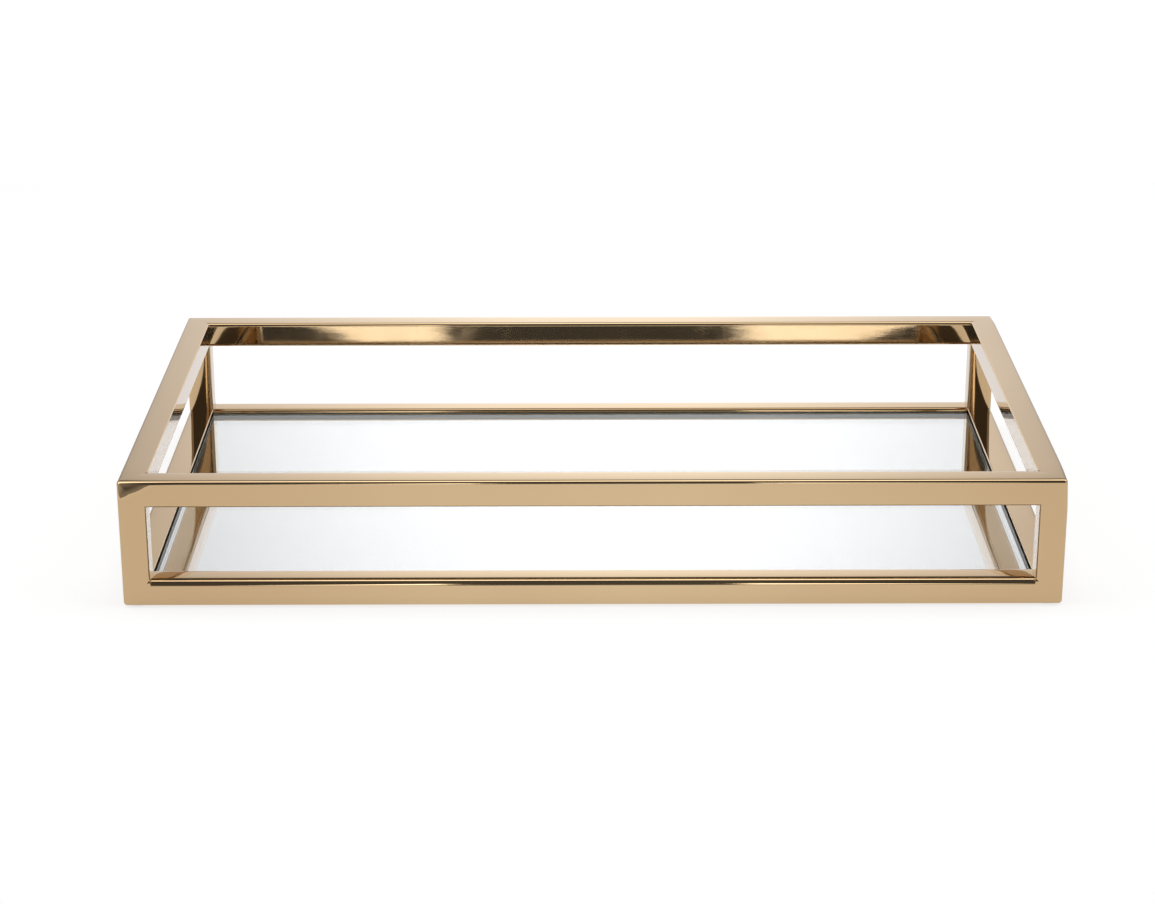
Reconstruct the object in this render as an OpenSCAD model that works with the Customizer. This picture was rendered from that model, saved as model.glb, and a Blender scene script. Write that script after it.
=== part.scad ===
// Open-frame vanity tray. Twelve square tubes, mitred three ways at each corner, form the edges of a low
// box. A thick mirror lies inside the bottom rails on a backing board, which four welded ledges carry.
// The origin is at the middle of the footprint, where the pads stand. +X is right, +Y is to the rear.

/* [Frame] */
// Width of the frame, left to right
tray_w = 406; // [250:1:600]
// Depth of the frame, front to rear
tray_d = 235; // [150:1:400]
// Height of the frame, without the pads under it
frame_h = 57.5; // [45:0.5:100]
// Outside width of the square tube
tube = 12; // [12:0.5:16]
// Wall thickness of the tube
tube_wall = 1; // [0.8:0.1:1]
// Outside radius of the tube's long edges
edge_r = 1.6; // [1.2:0.1:2]

/* [Mirror] */
// Thickness of the mirror glass
glass_t = 5; // [3:0.5:5]
// Depth of the glass face below the top of the bottom rails
mirror_drop = 1.8; // [1.4:0.1:2]
// Width of the small chamfer ground on every edge of the glass
arris = 0.5; // [0.3:0.1:0.8]
// Gap between the glass and the rails on each side
glass_gap = 0.4; // [0.2:0.1:0.8]

/* [Support] */
// Thickness of the foam mounting tape between the board and the glass
tape_t = 0.6; // [0.4:0.1:0.8]
// Width of one strip of mounting tape
tape_w = 18; // [10:1:25]
// Number of tape strips across the width
tape_count = 5; // [2:1:6]
// Thickness of the backing board
board_t = 2.5; // [2:0.1:2.5]
// Thickness of the flat-bar ledges inside the bottom rails
ledge_t = 1.5; // [1:0.1:1.5]
// Width of the ledges, from the rail inwards
ledge_w = 8; // [6:1:12]
// Thickness of the felt under the board
felt_t = 1; // [0.5:0.1:1.2]

/* [Pads] */
// Thickness of the pad under each corner
pad_t = 0.8; // [0.5:0.1:2]
// Radius of each pad
pad_r = 4; // [3:0.1:4]

/* [Hidden] */
$fn = 48;
gold = [0.83, 0.69, 0.46];
inner_w = tray_w - 2 * tube;
inner_d = tray_d - 2 * tube;
frame_top_z = pad_t + frame_h;
glass_top_z = pad_t + tube - mirror_drop;
glass_z = glass_top_z - glass_t;
tape_z = glass_z - tape_t;
board_z = tape_z - board_t;
ledge_z = board_z - ledge_t;
felt_z = board_z - felt_t;
bore_r = edge_r - tube_wall;
felt_gap = 1;
tape_margin = 30;

// Name and side of each repeated sub-part. A side is -1 for left, front or bottom, and 1 for right,
// rear or top.
X_RAILS = [
    ["front_bottom_rail", -1, -1],
    ["front_top_rail", -1, 1],
    ["rear_bottom_rail", 1, -1],
    ["rear_top_rail", 1, 1],
];
Y_RAILS = [
    ["left_bottom_rail", -1, -1],
    ["left_top_rail", -1, 1],
    ["right_bottom_rail", 1, -1],
    ["right_top_rail", 1, 1],
];
POSTS = [
    ["front_left_post", -1, -1],
    ["front_right_post", 1, -1],
    ["rear_left_post", -1, 1],
    ["rear_right_post", 1, 1],
];
X_LEDGES = [["front_ledge", -1], ["rear_ledge", 1]];
Y_LEDGES = [["left_ledge", -1], ["right_ledge", 1]];
PADS = [
    ["front_left_pad", -1, -1],
    ["front_right_pad", 1, -1],
    ["rear_left_pad", -1, 1],
    ["rear_right_pad", 1, 1],
];
REPEATED = [X_RAILS, Y_RAILS, POSTS, X_LEDGES, Y_LEDGES, PADS];

function is_far(side) = side > 0 ? 1 : 0;
function rail_z(side) = side > 0 ? frame_top_z : pad_t;

// Square with round corners, from the origin into +X and +Y
module rounded_square(size, r) {
    translate([r, 0]) square([size - 2 * r, size]);
    translate([0, r]) square([size, size - 2 * r]);
    for (x = [r, size - r], y = [r, size - r])
        translate([x, y]) circle(r);
}

module tube_section() {
    difference() {
        rounded_square(tube, edge_r);
        translate([tube_wall, tube_wall]) rounded_square(tube - 2 * tube_wall, bore_r);
    }
}

// Outline that cuts both ends of a tube back at 45 degrees, long side on the X axis
module mitre_outline(len) {
    polygon([[-len / 2, 0], [len / 2, 0], [len / 2 - tube, tube], [tube - len / 2, tube]]);
}

// Hollow tube along X, with its outer corner edge on the X axis. Two crossed mitres at each end leave
// the third of the corner that belongs to this tube, and its two neighbours there take the rest.
module mitred_tube(len) {
    intersection() {
        rotate([90, 0, 90])
            translate([0, 0, -len / 2])
            linear_extrude(len)
            tube_section();
        linear_extrude(tube) mitre_outline(len);
        rotate([90, 0, 0])
            translate([0, 0, -tube])
            linear_extrude(tube)
            mitre_outline(len);
    }
}

module rail_along_x(side_y, side_z) {
    color(gold)
        translate([0, side_y * tray_d / 2, rail_z(side_z)])
        mirror([0, is_far(side_y), 0])
        mirror([0, 0, is_far(side_z)])
        mitred_tube(tray_w);
}

module rail_along_y(side_x, side_z) {
    color(gold)
        translate([side_x * tray_w / 2, 0, rail_z(side_z)])
        mirror([is_far(side_x), 0, 0])
        mirror([0, 0, is_far(side_z)])
        mirror([1, -1, 0])
        mitred_tube(tray_d);
}

module post(side_x, side_y) {
    color(gold)
        translate([side_x * tray_w / 2, side_y * tray_d / 2, pad_t + frame_h / 2])
        mirror([is_far(side_x), 0, 0])
        mirror([0, is_far(side_y), 0])
        mirror([1, 0, -1])
        mitred_tube(frame_h);
}

// Block centred on the Z axis, standing on the height z
module slab(size, z) {
    translate([-size[0] / 2, -size[1] / 2, z]) cube(size);
}

module ledge_along_x(side_y) {
    color(gold)
        translate([0, side_y * (inner_d - ledge_w) / 2, 0])
        slab([inner_w, ledge_w, ledge_t], ledge_z);
}

module ledge_along_y(side_x) {
    color(gold)
        translate([side_x * (inner_w - ledge_w) / 2, 0, 0])
        slab([ledge_w, inner_d - 2 * ledge_w, ledge_t], ledge_z);
}

module backing_board() {
    color("burlywood")
        slab([inner_w - 2 * glass_gap, inner_d - 2 * glass_gap, board_t], board_z);
}

// Parallel strips from front to rear, evenly spaced
module mounting_tape() {
    strip_d = inner_d - 2 * tape_margin;
    pitch = (inner_w - 2 * tape_margin) / (tape_count - 1);
    color("dimgray")
        for (i = [0:tape_count - 1])
            translate([(i - (tape_count - 1) / 2) * pitch, 0, 0])
            slab([tape_w, strip_d, tape_t], tape_z);
}

// Section of the glass across one direction, with a chamfer at each corner
module glass_section(width) {
    half = width / 2;
    polygon([
        [-half + arris, 0], [half - arris, 0], [half, arris], [half, glass_t - arris],
        [half - arris, glass_t], [-half + arris, glass_t], [-half, glass_t - arris], [-half, arris],
    ]);
}

module mirror_glass() {
    glass_w = inner_w - 2 * glass_gap;
    glass_d = inner_d - 2 * glass_gap;
    color("lightsteelblue")
        translate([0, 0, glass_z])
        intersection() {
            rotate([90, 0, 0])
                translate([0, 0, -glass_d / 2])
                linear_extrude(glass_d)
                glass_section(glass_w);
            rotate([90, 0, 90])
                translate([0, 0, -glass_w / 2])
                linear_extrude(glass_w)
                glass_section(glass_d);
        }
}

// Felt that covers the underside of the board between the ledges
module base_felt() {
    margin = 2 * (ledge_w + felt_gap);
    color("black") slab([inner_w - margin, inner_d - margin, felt_t], felt_z);
}

// Thin round pad under the middle of a bottom corner
module corner_pad(side_x, side_y) {
    color("darkgray")
        translate([side_x * (tray_w - tube) / 2, side_y * (tray_d - tube) / 2, 0])
        cylinder(h = pad_t, r = pad_r);
}

for (rail = X_RAILS)
    rail_along_x(rail[1], rail[2]);
for (rail = Y_RAILS)
    rail_along_y(rail[1], rail[2]);
for (item = POSTS)
    post(item[1], item[2]);
for (ledge = X_LEDGES)
    ledge_along_x(ledge[1]);
for (ledge = Y_LEDGES)
    ledge_along_y(ledge[1]);
for (pad = PADS)
    corner_pad(pad[1], pad[2]);
backing_board();
mounting_tape();
mirror_glass();
base_felt();
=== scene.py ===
"""Dresser vanity tray: a polished gold square-tube frame round an inset mirror.

Lengths are in metres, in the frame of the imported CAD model: the tray stands on z = 0,
its front faces -Y, and X runs along its long side.
"""

import math

import bpy
from mathutils import Matrix, Vector, noise


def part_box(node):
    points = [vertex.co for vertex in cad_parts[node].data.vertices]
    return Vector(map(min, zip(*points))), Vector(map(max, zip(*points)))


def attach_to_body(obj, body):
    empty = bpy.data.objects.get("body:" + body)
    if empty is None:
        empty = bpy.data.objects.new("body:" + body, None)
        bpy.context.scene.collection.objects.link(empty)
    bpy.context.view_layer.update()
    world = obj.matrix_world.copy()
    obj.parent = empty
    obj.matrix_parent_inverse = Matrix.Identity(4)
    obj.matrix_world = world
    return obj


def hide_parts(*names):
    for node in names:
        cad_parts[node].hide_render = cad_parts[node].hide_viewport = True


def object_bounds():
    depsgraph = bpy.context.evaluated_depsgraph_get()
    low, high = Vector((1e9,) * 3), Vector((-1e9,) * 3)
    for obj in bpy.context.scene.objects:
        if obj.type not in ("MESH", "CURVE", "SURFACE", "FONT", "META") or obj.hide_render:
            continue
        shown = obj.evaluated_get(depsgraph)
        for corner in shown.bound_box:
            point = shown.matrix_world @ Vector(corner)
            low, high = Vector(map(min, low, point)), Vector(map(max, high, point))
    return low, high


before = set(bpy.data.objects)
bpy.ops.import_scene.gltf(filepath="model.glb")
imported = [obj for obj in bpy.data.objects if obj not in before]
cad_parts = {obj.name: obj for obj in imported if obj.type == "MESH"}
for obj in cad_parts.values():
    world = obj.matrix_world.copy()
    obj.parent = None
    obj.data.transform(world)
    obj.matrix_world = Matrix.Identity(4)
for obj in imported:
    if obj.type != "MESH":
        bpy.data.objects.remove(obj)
cad_low, cad_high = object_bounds()

# ---------------------------------------------------------------- sizes
TUBE = 0.012                 # outside width of the square tube
WALL = 0.001                 # wall thickness of the tube
EDGE_R = 0.0016              # rounding of the tube's long edges
LIP_R = 0.0031               # softer upper outside edge of the long bottom rails
CRISP_R = 0.0004             # sharper inner upper edge of the side rails
BORE_R = 0.0006              # least rounding inside the tube's corners
END_ZONE = 0.028             # length at each end where hand polishing shows
LIP_START = 0.0121           # where the softer edge begins, just inside the window
LIP_RAMP = 0.0003            # length over which it begins

FRAME_LOW = Vector((cad_low.x, cad_low.y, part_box("front_bottom_rail")[0].z))
FRAME_HIGH = cad_high.copy()

# Polishing leaves a flat side slightly crowned. CROWN is the slope at its edges, of
# which EVEN_CROWN rises evenly from the middle and the rest close to the edges.
CROWN = 0.055
EVEN_CROWN = 0.4
# How much of CROWN each side of a tube has: below, inwards, above and outwards.
SIDE_CROWNS = (1.0, 0.3, 1.0, 1.0)

# How far the polishing wheel has turned the faces over near each corner of the frame,
# as a slope at the corner itself.
CORNER_SLOPE = 0.03

# Spots where the corner was ground harder: the corner (left or right, front or rear,
# bottom or top), the axis along which metal is gone, how deep, how far the spot
# reaches along each axis, and how much more the polish turns there than the metal.
GROUND_SPOTS = (
    ((-1, -1, 1), 1, 0.0006, (0.030, 0.012, 0.010), 4.6),
    ((1, -1, 1), 0, 0.0008, (0.012, 0.028, 0.018), 1.0),
    ((1, 1, 1), 0, 0.0008, (0.012, 0.012, 0.016), 1.0),
)

# ---------------------------------------------------------------- mesh steps
ARC_STEPS = 8                # steps in each rounded long edge, an even number
FLAT_STEPS = 10              # steps across each flat side
PATCH_STEPS = 4              # steps from a rounded edge to the tip of the corner
ZONE_STEPS = 14              # steps along the tube inside the hand-polished end zone
SOFT_ARC = 3 * (ARC_STEPS + FLAT_STEPS)  # first point of the section's fourth edge
SAME_POINT = 1e-8            # points closer than this are one
AT_CORNER = 1e-7             # nearer the frame's corner than this, a face isn't turned
FACES_OUT = 0.5              # a normal with more than this outwards is an outer face's
SLOPE_STEP = 1e-5            # step over which a ground spot's slope is measured


# ---------------------------------------------------------------- mesh helpers
def mesh_object(name, points, faces, materials, slots=None, normals=None):
    """A new object made of these points and faces.

    slots gives each face's material, and normals the direction of each face corner.
    """
    mesh = bpy.data.meshes.new(name)
    mesh.from_pydata([tuple(point) for point in points], [], faces)
    for material in materials:
        mesh.materials.append(material)
    if slots is not None:
        mesh.polygons.foreach_set("material_index", slots)
    if normals is not None:
        mesh.polygons.foreach_set("use_smooth", [True] * len(faces))
        mesh.normals_split_custom_set(normals)
    mesh.update()
    piece = bpy.data.objects.new(name, mesh)
    bpy.context.scene.collection.objects.link(piece)
    return piece


def attach(piece, node):
    """Puts the piece on the tray's one body, in place of the CAD node it stands for."""
    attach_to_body(piece, "root")
    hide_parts(node)


def smoothstep(t):
    """0 to 1 as t goes from 0 to 1, level at both ends."""
    t = min(max(t, 0.0), 1.0)
    return t * t * (3.0 - 2.0 * t)


# ---------------------------------------------------------------- frame tubes
def tube_profile(inset, radii):
    """Points round a square section, as (across, up, normal angle), from the outer edge.

    The section's outer edge is at (0, 0). radii are those of the edges at (0, 0),
    (TUBE, 0), (TUBE, TUBE) and (0, TUBE), and inset moves the sides inwards.
    """
    near, far = inset, TUBE - inset
    centres = (
        (near + radii[0], near + radii[0]),
        (far - radii[1], near + radii[1]),
        (far - radii[2], far - radii[2]),
        (near + radii[3], far - radii[3]),
    )
    crowns = [CROWN * min(radius / EDGE_R, 1.0) for radius in radii]
    points = []
    for edge, centre in enumerate(centres):
        following = (edge + 1) % 4
        before = crowns[edge] * SIDE_CROWNS[edge - 1]
        after = crowns[edge] * SIDE_CROWNS[edge]
        far_end = crowns[following] * SIDE_CROWNS[edge]
        points += edge_arc(centre, radii[edge], edge, before, after)
        angle = math.pi * (1.0 + 0.5 * edge) + 0.5 * math.pi
        end = (
            centres[following][0] + radii[following] * math.cos(angle),
            centres[following][1] + radii[following] * math.sin(angle),
        )
        points += flat_side(points[-1], end, angle, after, far_end)
    return points


def edge_arc(centre, radius, edge, before, after):
    """The rounded edge of a section, turned by the crowns of the sides it joins."""
    points = []
    for step in range(ARC_STEPS + 1):
        share = step / ARC_STEPS
        angle = math.pi * (1.0 + 0.5 * edge) + 0.5 * math.pi * share
        points.append((
            centre[0] + radius * math.cos(angle),
            centre[1] + radius * math.sin(angle),
            angle + before * (1.0 - share) - after * share,
        ))
    return points


def flat_side(start, end, angle, near_crown, far_crown):
    """The points between two rounded edges, with a crown that only the normals have."""
    points = []
    for step in range(1, FLAT_STEPS):
        share = step / FLAT_STEPS
        offset = 2.0 * share - 1.0
        crown = near_crown if offset < 0.0 else far_crown
        turn = EVEN_CROWN * offset + (1.0 - EVEN_CROWN) * offset ** 3
        points.append((
            start[0] + share * (end[0] - start[0]),
            start[1] + share * (end[1] - start[1]),
            angle + crown * turn,
        ))
    return points


def tip_point(radius, turn, lift):
    """A point of the rounded corner tip, and the outward direction there."""
    out = Vector((
        math.sin(lift),
        math.cos(lift) * math.cos(turn),
        math.cos(lift) * math.sin(turn),
    ))
    return radius * (Vector((1.0, 1.0, 1.0)) - out), -out


def tip_row(profile, radius, step):
    """One row of (point, normal) across the mitre, from the corner's tip inwards."""
    row = []
    for index, (across, up, angle) in enumerate(profile):
        if index <= ARC_STEPS:
            turn = 0.5 * math.pi * index / ARC_STEPS
            full = math.atan(min(math.cos(turn), math.sin(turn)))
            row.append(tip_point(radius, turn, full * (1.0 - step / PATCH_STEPS)))
        else:
            row.append((
                Vector((max(across, up), across, up)),
                Vector((0.0, math.cos(angle), math.sin(angle))),
            ))
    return row


def section_row(profile, tip_radius, least, drops=None, share=0.0):
    """One row of (point, normal) round the tube, share of the way along the end zone.

    The row starts at the mitre, or at least this far from the frame's outer corner.
    drops lean each normal along the tube, where the section changes.
    """
    row = []
    for index, (across, up, angle) in enumerate(profile):
        start = max(across, up, tip_radius, least)
        lean = 0.0
        if drops is not None and SOFT_ARC <= index <= SOFT_ARC + ARC_STEPS:
            lean = drops[index]
        row.append((
            Vector((start + share * (END_ZONE - start), across, up)),
            Vector((lean, math.cos(angle), math.sin(angle))).normalized(),
        ))
    return row


def tube_end(radii):
    """One mitred end of a tube: its rows of (point, normal), from the mitre inwards.

    x runs along the tube from the frame's outer corner. The mitre is where x equals
    the larger of the other two, so three tubes close on each other without a gap.
    No edge is softer than EDGE_R at the mitre. A softer one begins after the window's
    corner, on a short ramp.
    """
    profile = tube_profile(0.0, radii)
    end_radii = [min(radius, EDGE_R) for radius in radii]
    end_profile = tube_profile(0.0, end_radii)
    rows = [tip_row(end_profile, radii[0], step) for step in range(PATCH_STEPS)]
    zone_start = 0.0
    rows.append(section_row(end_profile, radii[0], zone_start))
    if radii != end_radii:
        zone_start = LIP_START + LIP_RAMP
        drops = [
            math.hypot(first[0] - second[0], first[1] - second[1]) / LIP_RAMP
            for first, second in zip(end_profile, profile)
        ]
        rows.append(section_row(end_profile, radii[0], LIP_START))
        rows.append(section_row(end_profile, radii[0], LIP_START, drops))
        rows.append(section_row(profile, radii[0], zone_start, drops))
    for step in range(ZONE_STEPS + 1):
        rows.append(section_row(profile, radii[0], zone_start, None, step / ZONE_STEPS))
    return rows


def bore_row(length, radii, at_far_end):
    """One end of the tube's hollow: a row of points on the mitre."""
    bore_radii = [max(radius - WALL, BORE_R) for radius in radii]
    row = []
    for across, up, _ in tube_profile(WALL, bore_radii):
        start = max(across, up)
        row.append(Vector((length - start if at_far_end else start, across, up)))
    return row


def ring_faces(points, first, second):
    """Faces that join two rings of points, leaving out any without an area."""
    faces = []
    for here in range(len(first)):
        there = (here + 1) % len(first)
        kept = []
        for vertex in (first[here], first[there], second[there], second[here]):
            if all((points[vertex] - points[other]).length > SAME_POINT for other in kept):
                kept.append(vertex)
        if len(kept) > 2:
            faces.append(kept)
    return faces


def tube_mesh(length, radii):
    """A whole hollow tube, mitred at both ends: its points, normals and faces.

    The outside comes first, and only its points have normals. The last value is how
    many of the faces are its.
    """
    near_rows = tube_end(radii)
    far_rows = [
        [(Vector((length - p.x, p.y, p.z)), Vector((-n.x, n.y, n.z))) for p, n in row]
        for row in reversed(near_rows)
    ]
    outer_rows = near_rows + far_rows
    points = [point for row in outer_rows for point, normal in row]
    normals = [normal for row in outer_rows for point, normal in row]
    points += bore_row(length, radii, True) + bore_row(length, radii, False)
    count = len(outer_rows[0])
    rings = [range(start, start + count) for start in range(0, len(points), count)]
    last = len(outer_rows) - 1
    faces = []
    for first, second in zip(rings[:last], rings[1:]):
        faces += ring_faces(points, first, second)
    outer_faces = len(faces)
    for first, second in zip(rings[last:], rings[last + 1:] + rings[:1]):
        faces += ring_faces(points, first, second)
    return points, normals, faces, outer_faces


def ground_off(point, corner, reaches):
    """Share of a ground spot's full depth that is gone at this point."""
    share = 1.0
    for axis in range(3):
        share *= max(0.0, 1.0 - abs(corner[axis] - point[axis]) / reaches[axis]) ** 2
    return share


def corner_turn(point, normal, corner, signs):
    """How a face's direction changes near a corner, where polishing has dished it."""
    outwards = max(normal[axis] * signs[axis] for axis in range(3))
    offset = corner - point
    along = offset - offset.dot(normal) * normal
    reach = along.length
    if outwards <= FACES_OUT or not AT_CORNER < reach < END_ZONE:
        return Vector((0.0, 0.0, 0.0))
    dip = smoothstep(1.0 - reach / END_ZONE) ** 2
    return CORNER_SLOPE * dip * along / reach


def polished(point, normal):
    """Where a point of the tube's skin is after polishing, and its direction there."""
    middle = (FRAME_LOW + FRAME_HIGH) / 2.0
    signs = tuple(1 if point[axis] > middle[axis] else -1 for axis in range(3))
    corner = Vector([
        FRAME_HIGH[axis] if signs[axis] > 0 else FRAME_LOW[axis] for axis in range(3)
    ])
    moved = point.copy()
    turned = normal + corner_turn(point, normal, corner, signs)
    for spot_corner, axis, depth, reaches, polish in GROUND_SPOTS:
        here = ground_off(point, corner, reaches)
        if spot_corner != signs or here <= 0.0:
            continue
        moved[axis] -= signs[axis] * depth * here
        for other in range(3):
            if other == axis:
                continue
            ahead = point.copy()
            ahead[other] -= signs[other] * SLOPE_STEP
            change = here - ground_off(ahead, corner, reaches)
            slope = signs[other] * depth * change / SLOPE_STEP
            turned[other] += polish * signs[axis] * normal[axis] * slope
    return moved, turned.normalized()


def drop_unused(points, normals, faces):
    """The same mesh without the points that no face uses."""
    used = sorted({vertex for face in faces for vertex in face})
    renumber = {vertex: index for index, vertex in enumerate(used)}
    faces = [[renumber[vertex] for vertex in face] for face in faces]
    normals = [normals[vertex] for vertex in used if vertex < len(normals)]
    return [points[vertex] for vertex in used], normals, faces


def corner_normals(points, normals, faces, outer_faces):
    """The direction of each face corner: smooth outside, flat in the hollow and mitres."""
    directions = []
    for index, face in enumerate(faces):
        first, second, third = (points[vertex] for vertex in face[:3])
        flat = (second - first).cross(third - first).normalized()
        for vertex in face:
            directions.append(tuple(normals[vertex] if index < outer_faces else flat))
    return directions


def frame_tube(node, along, sides, radii, material):
    """The visible tube that stands for one rail or post of the frame.

    along is the axis it runs along. sides gives, for each other axis, the side of the
    frame that it is on: -1 for the low side or 1 for the high side.
    """
    order = [along] + [axis for axis in range(3) if axis != along]
    turn = Matrix.Diagonal((0.0, 0.0, 0.0))
    corner = FRAME_LOW.copy()
    for local, axis in enumerate(order):
        turn[axis][local] = 1.0
        if sides[axis] > 0:
            turn[axis][local] = -1.0
            corner[axis] = FRAME_HIGH[axis]
    length = FRAME_HIGH[along] - FRAME_LOW[along]
    points, normals, faces, outer_faces = tube_mesh(length, radii)
    points = [turn @ point + corner for point in points]
    for vertex, normal in enumerate(normals):
        points[vertex], normals[vertex] = polished(points[vertex], turn @ normal)
    if turn.determinant() < 0.0:
        faces = [face[::-1] for face in faces]
    points, normals, faces = drop_unused(points, normals, faces)
    directions = corner_normals(points, normals, faces, outer_faces)
    piece = mesh_object(node + "_tube", points, faces, [material], normals=directions)
    attach(piece, node)


# ---------------------------------------------------------------- node helpers
class Tree:
    """Adds nodes to one node tree and wires them, so that a material reads in order."""

    def __init__(self, owner):
        owner.use_nodes = True
        self.tree = owner.node_tree
        self.tree.nodes.clear()

    def add(self, kind, inputs=None, **settings):
        """A new node, with these values or wires at its inputs."""
        node = self.tree.nodes.new(kind)
        for name, value in settings.items():
            setattr(node, name, value)
        for socket, value in (inputs or {}).items():
            if isinstance(value, bpy.types.NodeSocket):
                self.tree.links.new(value, node.inputs[socket])
            else:
                node.inputs[socket].default_value = value
        return node

    def place(self):
        """The place on the object, in metres."""
        return self.add("ShaderNodeTexCoord").outputs["Object"]

    def split(self, vector):
        """The X, Y and Z parts of a vector."""
        return self.add("ShaderNodeSeparateXYZ", {0: vector}).outputs

    def math(self, operation, first, second=0.0, clamp=False):
        """A Math node's result; clamp keeps it between 0 and 1."""
        node = self.add("ShaderNodeMath", {0: first, 1: second}, operation=operation,
                        use_clamp=clamp)
        return node.outputs[0]

    def ramp(self, value, low, high, start=0.0, end=1.0):
        """value from low to high, turned smoothly into start to end."""
        node = self.add("ShaderNodeMapRange", {
            "Value": value, "From Min": low, "From Max": high,
            "To Min": start, "To Max": end,
        }, interpolation_type="SMOOTHSTEP")
        return node.outputs["Result"]

    def over(self, under, share, level):
        """under, covered by level as far as share says."""
        change = self.math("SUBTRACT", level, under)
        return self.math("ADD", under, self.math("MULTIPLY", share, change))

    def mix(self, share, first, second):
        """The first colour turning into the second as share goes from 0 to 1."""
        node = self.add("ShaderNodeMix", {
            "Factor": share, "A": first, "B": second,
        }, data_type="RGBA")
        return node.outputs["Result"]

    def noise(self, scale, detail=2.0, roughness=0.5, stretch=(1.0, 1.0, 1.0)):
        """Smooth noise with this many waves to the metre; a small stretch draws it out."""
        moved = self.add("ShaderNodeMapping", {"Vector": self.place(), "Scale": stretch})
        node = self.add("ShaderNodeTexNoise", {
            "Vector": moved.outputs[0], "Scale": scale, "Detail": detail,
            "Roughness": roughness,
        })
        return node.outputs["Fac"]

    def bump(self, height, distance, under=None):
        """Surface directions for a relief of this height in metres, on top of another."""
        inputs = {"Height": height, "Distance": distance}
        if under is not None:
            inputs["Normal"] = under
        return self.add("ShaderNodeBump", inputs).outputs["Normal"]


def colour(red, green, blue):
    """A colour in linear light."""
    return (red, green, blue, 1.0)


def principled(tree, **inputs):
    """The material's shader and its output; inputs use the sockets' names with _."""
    named = {name.replace("_", " "): value for name, value in inputs.items()}
    shader = tree.add("ShaderNodeBsdfPrincipled", named)
    tree.add("ShaderNodeOutputMaterial", {"Surface": shader.outputs[0]})


# ---------------------------------------------------------------- materials
def polished_gold():
    """Mirror-polished champagne gold plate with faint waves, haze and hairlines.

    Its colour is painted paler round the middle of the tray and darker towards its ends, as
    painted shade where less light falls; apart from that its tone varies at random.
    """
    material = bpy.data.materials.new("polished_gold")
    tree = Tree(material)
    from_middle = tree.math("ABSOLUTE", tree.split(tree.place())["X"])
    # painted shade: the gold's colour is darkened towards the frame's ends, where less light
    # falls, and paled round the middle
    painted_end_shade = tree.ramp(from_middle, 0.02, 0.20, start=0.35, end=-0.45)
    tone = tree.math("ADD", tree.noise(scale=9.0, detail=3.0), painted_end_shade, clamp=True)
    # the darker plate colour gives both random tone and the painted shade towards the ends
    plate = tree.mix(tone, colour(0.535, 0.372, 0.203), colour(0.620, 0.454, 0.262))
    cloud = tree.noise(scale=38.0, detail=4.0, roughness=0.6)
    haze = tree.ramp(cloud, 0.42, 0.72, start=0.030, end=0.075)
    waves = tree.bump(tree.noise(scale=26.0, detail=1.0), 0.00003)
    lines = tree.noise(scale=900.0, stretch=(0.04, 1.0, 1.0))
    hairlines = tree.bump(lines, 0.000002, under=waves)
    principled(tree, Base_Color=plate, Metallic=1.0, Roughness=haze, Normal=hairlines,
               Specular_Tint=colour(0.90, 0.92, 0.96), Coat_Weight=0.25, Coat_Roughness=0.03)
    return material


def ledge_brass():
    """Plainer, less polished brass of the strips under the mirror."""
    material = bpy.data.materials.new("ledge_metal")
    tree = Tree(material)
    cloud = tree.noise(scale=60.0, detail=5.0)
    tone = tree.mix(cloud, colour(0.45, 0.31, 0.16), colour(0.60, 0.44, 0.25))
    haze = tree.ramp(tree.noise(scale=140.0, detail=3.0), 0.3, 0.7, start=0.22, end=0.38)
    grain = tree.bump(tree.noise(scale=1500.0, stretch=(0.1, 1.0, 1.0)), 0.00002)
    principled(tree, Base_Color=tone, Metallic=1.0, Roughness=haze, Normal=grain)
    return material


def clear_glass():
    """Float glass with a faint grey-green body and a few smears."""
    material = bpy.data.materials.new("mirror_glass")
    tree = Tree(material)
    cloud = tree.noise(scale=3.0)
    tint = tree.mix(cloud, colour(0.905, 0.912, 0.915), colour(0.920, 0.927, 0.930))
    wiped = tree.noise(scale=11.0, detail=4.0, roughness=0.6)
    smear = tree.ramp(wiped, 0.55, 0.85, start=0.0, end=0.012)
    principled(tree, Base_Color=tint, Roughness=smear, IOR=1.52, Transmission_Weight=1.0)
    return material


def ground_edge():
    """Seamed edge of the glass: frosted, grey-green, with fine grinding lines."""
    material = bpy.data.materials.new("ground_glass_edge")
    tree = Tree(material)
    frost = tree.noise(scale=400.0, detail=4.0)
    tone = tree.mix(frost, colour(0.28, 0.33, 0.32), colour(0.40, 0.45, 0.44))
    lines = tree.bump(tree.noise(scale=2500.0, stretch=(0.05, 0.05, 1.0)), 0.00001)
    principled(tree, Base_Color=tone, Roughness=0.40, Normal=lines)
    return material


def silver_layer():
    """The mirror's silver, seen through the glass."""
    material = bpy.data.materials.new("mirror_silver")
    tree = Tree(material)
    cloud = tree.noise(scale=5.0)
    tone = tree.mix(cloud, colour(0.865, 0.865, 0.870), colour(0.880, 0.880, 0.885))
    principled(tree, Base_Color=tone, Metallic=1.0, Roughness=0.0)
    return material


def back_paint():
    """Grey protective paint behind the silver, with a slight orange peel."""
    material = bpy.data.materials.new("mirror_back_paint")
    tree = Tree(material)
    cloud = tree.noise(scale=90.0, detail=4.0)
    tone = tree.mix(cloud, colour(0.16, 0.18, 0.17), colour(0.23, 0.25, 0.24))
    peel = tree.bump(tree.noise(scale=700.0), 0.00002)
    principled(tree, Base_Color=tone, Roughness=0.6, Normal=peel)
    return material


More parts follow.
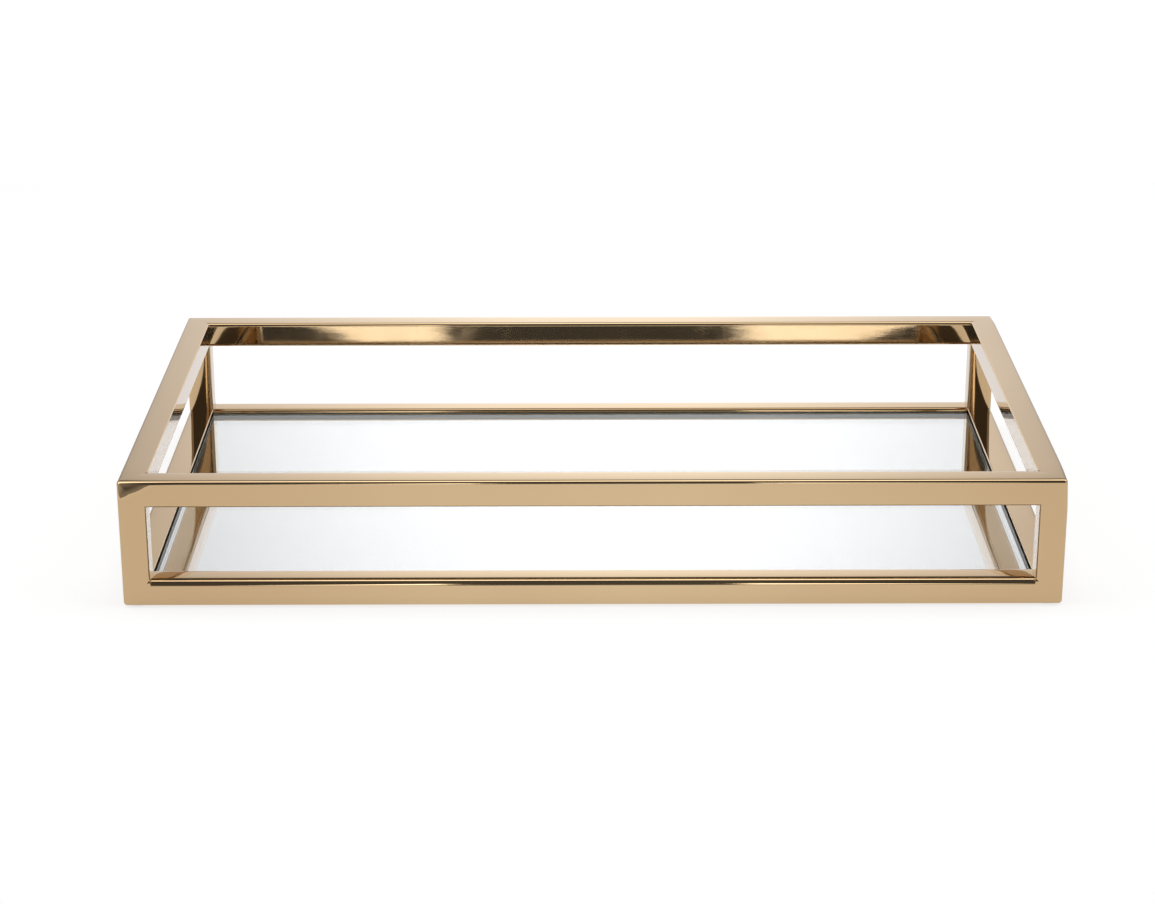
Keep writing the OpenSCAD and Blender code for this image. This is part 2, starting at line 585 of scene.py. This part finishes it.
def pressed_board():
    """Pressed wood-fibre board: pale brown with short darker fibres."""
    material = bpy.data.materials.new("pressed_board")
    tree = Tree(material)
    cloud = tree.noise(scale=45.0, detail=3.0)
    base = tree.mix(cloud, colour(0.42, 0.29, 0.17), colour(0.52, 0.38, 0.24))
    fibres = tree.noise(scale=1400.0, detail=5.0, roughness=0.7, stretch=(0.35, 1.0, 1.0))
    tone = tree.mix(tree.ramp(fibres, 0.52, 0.68), base, colour(0.27, 0.17, 0.09))
    relief = tree.bump(fibres, 0.00006)
    principled(tree, Base_Color=tone, Roughness=0.85, Normal=relief)
    return material


def foam_tape():
    """Dark grey foam mounting tape with fine cells."""
    material = bpy.data.materials.new("foam_tape")
    tree = Tree(material)
    cells = tree.noise(scale=1800.0, detail=3.0, roughness=0.6)
    tone = tree.mix(cells, colour(0.24, 0.24, 0.25), colour(0.35, 0.35, 0.36))
    relief = tree.bump(cells, 0.00008)
    principled(tree, Base_Color=tone, Roughness=0.8, Normal=relief)
    return material


def black_felt():
    """Matted black felt: tangled fibres, a little lint and a soft sheen."""
    material = bpy.data.materials.new("black_felt")
    tree = Tree(material)
    lengthways = tree.noise(scale=1100.0, detail=6.0, roughness=0.75, stretch=(1.0, 0.35, 1.0))
    crossways = tree.noise(scale=1300.0, detail=6.0, roughness=0.75, stretch=(0.30, 1.0, 1.0))
    tangle = tree.math("MULTIPLY", lengthways, crossways)
    lint = tree.ramp(tangle, 0.12, 0.42)
    tone = tree.mix(lint, colour(0.008, 0.008, 0.009), colour(0.045, 0.044, 0.046))
    relief = tree.bump(tangle, 0.00035)
    principled(tree, Base_Color=tone, Roughness=0.95, Sheen_Weight=0.35,
               Sheen_Roughness=0.5, Normal=relief)
    return material


def clear_silicone():
    """Clear soft silicone with a milky tone and a moulded satin skin."""
    material = bpy.data.materials.new("clear_pad")
    tree = Tree(material)
    skin = tree.noise(scale=1600.0, detail=3.0, roughness=0.6)
    tone = tree.mix(skin, colour(0.86, 0.86, 0.85), colour(0.94, 0.94, 0.93))
    relief = tree.bump(skin, 0.00002)
    principled(tree, Base_Color=tone, Roughness=0.35, IOR=1.43,
               Transmission_Weight=0.7, Normal=relief)
    return material


# ---------------------------------------------------------------- mirror
GLASS_GAP = 0.00006          # from the glass down to the silver's underside
SILVER = 0.00005             # thickness of the silver and its paint
ARRIS = 0.00015              # chamfer round the glass
SILVER_MARGIN = 4.0 * ARRIS  # from the glass's edge in to the silver's


def chamfered_slab(low, high, arris):
    """Points and faces of a slab with a chamfer round its top and bottom faces.

    The faces are the bottom, twelve round the sides from below upwards, and the top.
    """
    outline = ((0, 0), (1, 0), (1, 1), (0, 1))
    levels = ((low.z, arris), (low.z + arris, 0.0), (high.z - arris, 0.0), (high.z, arris))
    points = []
    for height, inset in levels:
        for right, rear in outline:
            points.append(Vector((
                (high.x - inset) if right else (low.x + inset),
                (high.y - inset) if rear else (low.y + inset),
                height,
            )))
    faces = [[3, 2, 1, 0]]
    for level in range(3):
        for here in range(4):
            there = (here + 1) % 4
            first, second = 4 * level, 4 * (level + 1)
            faces.append([first + here, first + there, second + there, second + here])
    faces.append([12, 13, 14, 15])
    return points, faces


def build_mirror():
    """The glass with its ground edges, and the silver and paint behind it."""
    low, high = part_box("mirror_glass")
    glass_low = low + Vector((0.0, 0.0, GLASS_GAP))
    points, faces = chamfered_slab(glass_low, high, ARRIS)
    slots = [0] + [1] * (len(faces) - 2) + [0]
    glass = mesh_object("mirror_plate", points, faces, [clear_glass(), ground_edge()], slots)
    attach(glass, "mirror_glass")

    silver_low = low + Vector((SILVER_MARGIN, SILVER_MARGIN, 0.0))
    silver_high = Vector((high.x - SILVER_MARGIN, high.y - SILVER_MARGIN, low.z + SILVER))
    points, faces = chamfered_slab(silver_low, silver_high, SILVER / 4.0)
    slots = [1] * (len(faces) - 1) + [0]
    layers = [silver_layer(), back_paint()]
    silver = mesh_object("mirror_silvering", points, faces, layers, slots)
    attach(silver, "mirror_glass")


# ---------------------------------------------------------------- felt
FELT_CELL = 0.004            # about the size of the felt's mesh cells
FELT_EDGE = 0.0003           # width of its soft edge
FELT_LUMP = 0.00012          # height of the lumps on its underside
FELT_LUMPS = 180.0           # and how many there are to the metre


def felt_layer(low, high, columns, rows, first, is_top):
    """Points and faces of the felt's flat top or lumpy underside, numbered from first."""
    size = high - low
    height = high.z if is_top else low.z
    points, faces = [], []
    for row in range(rows + 1):
        for column in range(columns + 1):
            x = low.x + FELT_EDGE + (size.x - 2.0 * FELT_EDGE) * column / columns
            y = low.y + FELT_EDGE + (size.y - 2.0 * FELT_EDGE) * row / rows
            rise = 0.0
            if not is_top:
                wave = noise.noise(Vector((x, y, 0.0)) * FELT_LUMPS)
                rise = FELT_LUMP * (0.5 + 0.5 * wave)
            points.append(Vector((x, y, height + rise)))
    for row in range(rows):
        for column in range(columns):
            here = first + row * (columns + 1) + column
            face = [here, here + 1, here + columns + 2, here + columns + 1]
            faces.append(face if is_top else face[::-1])
    return points, faces


def grid_border(columns, rows):
    """The numbers of the points round a grid, starting along its first row."""
    border = list(range(columns))
    border += [row * (columns + 1) + columns for row in range(rows)]
    border += [rows * (columns + 1) + columns - column for column in range(columns)]
    border += [(rows - row) * (columns + 1) for row in range(rows)]
    return border


def build_felt():
    """The felt that is glued flat under the board: soft-edged, with a lumpy underside."""
    low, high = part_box("base_felt")
    size = high - low
    middle = (low + high) / 2.0
    columns, rows = round(size.x / FELT_CELL), round(size.y / FELT_CELL)
    points, faces = felt_layer(low, high, columns, rows, 0, True)
    below, below_faces = felt_layer(low, high, columns, rows, len(points), False)
    border = grid_border(columns, rows)
    lower_border = [vertex + len(points) for vertex in border]
    points += below
    faces += below_faces
    flat = size - Vector((2.0 * FELT_EDGE, 2.0 * FELT_EDGE, 0.0))
    widen = Vector((size.x / flat.x, size.y / flat.y))
    rings = [border]
    for height in (high.z - FELT_EDGE, low.z + FELT_EDGE):
        rings.append(range(len(points), len(points) + len(border)))
        for vertex in border:
            points.append(Vector((
                middle.x + (points[vertex].x - middle.x) * widen.x,
                middle.y + (points[vertex].y - middle.y) * widen.y,
                height,
            )))
    rings.append(lower_border)
    for upper, lower in zip(rings, rings[1:]):
        faces += ring_faces(points, lower, upper)
    piece = mesh_object("felt_lining", points, faces, [black_felt()])
    for polygon in piece.data.polygons:
        polygon.use_smooth = True
    attach(piece, "base_felt")


# ---------------------------------------------------------------- the frame
def build_frame():
    """Twelve tubes: eight rails and four posts."""
    gold = polished_gold()
    plain = (EDGE_R, EDGE_R, EDGE_R, EDGE_R)
    soft_lip = (EDGE_R, EDGE_R, EDGE_R, LIP_R)
    long_rails = {-1: soft_lip, 1: plain}
    side_rails = {-1: (EDGE_R, EDGE_R, CRISP_R, EDGE_R), 1: (EDGE_R, CRISP_R, EDGE_R, EDGE_R)}
    levels = (("bottom", -1), ("top", 1))
    depths = (("front", -1), ("rear", 1))
    for depth, rear in depths:
        for level, top in levels:
            frame_tube(f"{depth}_{level}_rail", 0, (0, rear, top), long_rails[top], gold)
    for side, right in (("left", -1), ("right", 1)):
        for level, top in levels:
            frame_tube(f"{side}_{level}_rail", 1, (right, 0, top), side_rails[top], gold)
        for depth, rear in depths:
            frame_tube(f"{depth}_{side}_post", 2, (right, rear, 0), plain, gold)


def finish_cad_nodes():
    """Materials for the CAD pieces whose shape is already right."""
    finishes = {
        "_ledge": ledge_brass(),
        "_pad": clear_silicone(),
        "backing_board": pressed_board(),
        "mounting_tape": foam_tape(),
    }
    for name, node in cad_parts.items():
        for ending, material in finishes.items():
            if name.endswith(ending):
                node.data.materials.clear()
                node.data.materials.append(material)


# ---------------------------------------------------------------- studio
# Brightness of each light.
FLOOR_GLOW_NEAR = 0.77       # the floor's own light under the tray
FLOOR_GLOW_FAR = 0.74        # and further out
FLOOR_GLOW_RIM = 0.04        # what is added beside and behind the tray, far out
BACKDROP_PEAK = 1.53         # the backdrop at its brightest point
BACKDROP_LEAST = 0.45        # and at its ends
CEILING = 3.0                # the long softbox overhead
HAZE = 1.0                   # the band above the floor's far edge
SIDES = 0.60                 # the pale walls to the left and right
DARK = 0.12                  # the unlit room
DUSK = 0.45                  # the room behind the camera, just above the floor
REFLECTOR = 3.2              # the two reflectors beside the camera

# The floor, as distances from the tray's middle.
FLOOR_HALF = 7.0             # half its width and depth
FLOOR_FADE = (0.05, 0.42)    # where it fades from the near to the far brightness
FLOOR_RIM = (0.60, 0.80)     # where the last brightness is added

# The backdrop: its place, its size, and the spread of light on it.
BACKDROP_Y = 0.60            # how far behind the tray's middle it is
BACKDROP_HALF = 1.2          # half its width
BACKDROP_FOOT = 0.001        # height of its lower edge
BACKDROP_TOP = 0.50          # height of its upper edge
GLOW_X = 0.018               # its brightest point
GLOW_Z = 0.15
GLOW_TALL = 0.49             # reach of the light upwards
GLOW_WIDE = (0.475, 0.50)    # reach of the light sideways, lower and higher up
GLOW_WIDENS = (0.20, 0.40)   # heights between which it widens

# Where the parts of the room begin and end, as the X, Y or Z part of a direction.
# Each fades in from its first value to its second.
AISLE_X = (0.50, 0.30)             # the unlit aisle between the pale walls
HAZE_Y = (-0.30, -0.20)            # the haze, everywhere but behind the camera
HAZE_Z = (0.26, 0.14)              # and from its top down
SOFTBOX_Y = (0.30, 0.22)           # the softbox, from its long sides inwards
SOFTBOX_Z = (0.45, 0.60)           # and from its ends up
BEHIND_CAMERA_Y = (-0.40, -0.50)   # the dusk and the reflectors
DUSK_Z = (0.26, 0.0)               # the dusk, from its top down
REFLECTOR_FOOT_Z = (0.10, 0.16)    # a reflector, from its foot up
REFLECTOR_TOP_Z = (0.62, 0.54)     # and from its top down
INNER_BLUR = 0.003                 # softness of its inner edge
OUTER_BLUR = 0.004                 # and of its outer edge
STREAKS = (40.0, 1.0, 170.0)       # how fine its streaks are across, along and up
RAGGED = 0.03                      # how far they shift its edges

# Side, inner edge, outer edge and lean of each reflector, as the X part of a direction.
# The outer edge leans about the point where Z is LEAN_Z.
REFLECTORS = ((-1.0, 0.048, 0.086, 0.24), (1.0, 0.060, 0.110, 0.35))
LEAN_Z = 0.30

# The camera.
CAMERA_PLACE = (-0.0065, -1.220, 0.476)
CAMERA_DOWN = 20.15          # degrees that it looks down
CAMERA_ROLL = -0.13          # degrees that it is turned about its own axis
CAMERA_LENS = 86.4           # focal length in millimetres
CAMERA_SENSOR = 36.0         # and the width of the film


def build_floor():
    """Plain pale floor: a white table top that glows a little, most under the tray."""
    material = bpy.data.materials.new("studio_floor")
    tree = Tree(material)
    tone = tree.mix(tree.noise(scale=2.0), colour(0.28, 0.28, 0.28), colour(0.30, 0.30, 0.30))
    length = tree.add("ShaderNodeVectorMath", {0: tree.place()}, operation="LENGTH")
    distance = length.outputs["Value"]
    glow = tree.ramp(distance, *FLOOR_FADE, start=FLOOR_GLOW_NEAR, end=FLOOR_GLOW_FAR)
    glow = tree.math("ADD", glow, tree.ramp(distance, *FLOOR_RIM, end=FLOOR_GLOW_RIM))
    principled(tree, Base_Color=tone, Roughness=0.9, Specular_IOR_Level=0.0,
               Emission_Color=colour(1.0, 1.0, 1.0), Emission_Strength=glow)
    points = [
        Vector((x * FLOOR_HALF, y * FLOOR_HALF, 0.0))
        for x, y in ((-1, -1), (1, -1), (1, 1), (-1, 1))
    ]
    mesh_object("studio_floor", points, [[0, 1, 2, 3]], [material])


def build_backdrop():
    """A glowing white backdrop behind the tray, brightest low down in the middle."""
    material = bpy.data.materials.new("studio_backdrop")
    tree = Tree(material)
    place = tree.split(tree.place())
    wide = tree.ramp(place["Z"], *GLOW_WIDENS, *GLOW_WIDE)
    sideways = tree.math("DIVIDE", tree.math("SUBTRACT", place["X"], GLOW_X), wide)
    upwards = tree.math("DIVIDE", tree.math("SUBTRACT", place["Z"], GLOW_Z), GLOW_TALL)
    spread = tree.math("ADD", tree.math("POWER", sideways, 2.0), tree.math("POWER", upwards, 2.0))
    glow = tree.math("EXPONENT", tree.math("MULTIPLY", spread, -1.0))
    level = tree.math("MULTIPLY", glow, BACKDROP_PEAK)
    level = tree.math("MAXIMUM", level, BACKDROP_LEAST)
    shader = tree.add("ShaderNodeEmission", {"Strength": level})
    tree.add("ShaderNodeOutputMaterial", {"Surface": shader.outputs[0]})
    points = [
        Vector((-BACKDROP_HALF, BACKDROP_Y, BACKDROP_FOOT)),
        Vector((BACKDROP_HALF, BACKDROP_Y, BACKDROP_FOOT)),
        Vector((BACKDROP_HALF, BACKDROP_Y, BACKDROP_TOP)),
        Vector((-BACKDROP_HALF, BACKDROP_Y, BACKDROP_TOP)),
    ]
    backdrop = mesh_object("studio_backdrop", points, [[0, 1, 2, 3]], [material])
    backdrop.visible_camera = False


def with_reflectors(tree, room, direction, behind_camera):
    """The room's brightness with two tall, streaky reflectors beside the camera."""
    parts = tree.split(direction)
    east, up = parts["X"], parts["Z"]
    streaks = tree.add("ShaderNodeMapping", {"Vector": direction, "Scale": STREAKS})
    ragged = tree.add("ShaderNodeTexNoise", {"Vector": streaks.outputs[0], "Detail": 3.0})
    shift = tree.math("SUBTRACT", ragged.outputs["Fac"], 0.5)
    shift = tree.math("MULTIPLY", shift, RAGGED)
    tall = tree.math("MULTIPLY", tree.ramp(up, *REFLECTOR_FOOT_Z), tree.ramp(up, *REFLECTOR_TOP_Z))
    tall = tree.math("MULTIPLY", tall, behind_camera)
    for side, inner, outer, lean in REFLECTORS:
        across = tree.math("ADD", tree.math("MULTIPLY", east, side), shift)
        leaning = tree.math("MULTIPLY", tree.math("SUBTRACT", up, LEAN_Z), lean)
        past_outer = tree.math("SUBTRACT", tree.math("ADD", across, leaning), outer)
        inside = tree.ramp(across, inner - INNER_BLUR, inner + INNER_BLUR)
        lit = tree.math("MULTIPLY", tree.ramp(past_outer, OUTER_BLUR, -OUTER_BLUR), inside)
        room = tree.over(room, tree.math("MULTIPLY", tall, lit), REFLECTOR)
    return room


def build_world():
    """The room: pale walls left and right, a long softbox overhead, and an unlit aisle.

    A bright haze shows above the floor's far edge and a dimmer dusk behind the camera.
    """
    world = bpy.data.worlds.new("studio")
    bpy.context.scene.world = world
    tree = Tree(world)
    direction = tree.add("ShaderNodeTexCoord").outputs["Generated"]
    parts = tree.split(direction)
    east, north, up = parts["X"], parts["Y"], parts["Z"]
    aisle = tree.ramp(tree.math("ABSOLUTE", east), *AISLE_X)
    room = tree.over(SIDES, aisle, DARK)
    haze = tree.math("MULTIPLY", tree.ramp(up, *HAZE_Z), tree.ramp(north, *HAZE_Y))
    room = tree.over(room, haze, HAZE)
    long_sides = tree.ramp(tree.math("ABSOLUTE", north), *SOFTBOX_Y)
    softbox = tree.math("MULTIPLY", tree.ramp(up, *SOFTBOX_Z), long_sides)
    room = tree.over(room, softbox, CEILING)
    behind_camera = tree.ramp(north, *BEHIND_CAMERA_Y)
    dusk = tree.math("MULTIPLY", tree.ramp(up, *DUSK_Z), behind_camera)
    room = tree.over(room, dusk, DUSK)
    room = with_reflectors(tree, room, direction, behind_camera)
    background = tree.add("ShaderNodeBackground", {"Strength": room})
    tree.add("ShaderNodeOutputWorld", {"Surface": background.outputs[0]})


def build_camera():
    """The camera, in front of the tray and a little above it."""
    data = bpy.data.cameras.new("camera")
    data.lens = CAMERA_LENS
    data.sensor_width = CAMERA_SENSOR
    data.clip_start = 0.01
    data.clip_end = 100.0
    camera = bpy.data.objects.new("camera", data)
    bpy.context.scene.collection.objects.link(camera)
    pitch = Matrix.Rotation(math.radians(90.0 - CAMERA_DOWN), 4, "X")
    roll = Matrix.Rotation(math.radians(CAMERA_ROLL), 4, "Z")
    camera.matrix_world = Matrix.Translation(CAMERA_PLACE) @ pitch @ roll
    bpy.context.scene.camera = camera


build_frame()
build_mirror()
build_felt()
finish_cad_nodes()
build_floor()
build_backdrop()
build_world()
build_camera()
bpy.context.scene.view_settings.view_transform = "Standard"
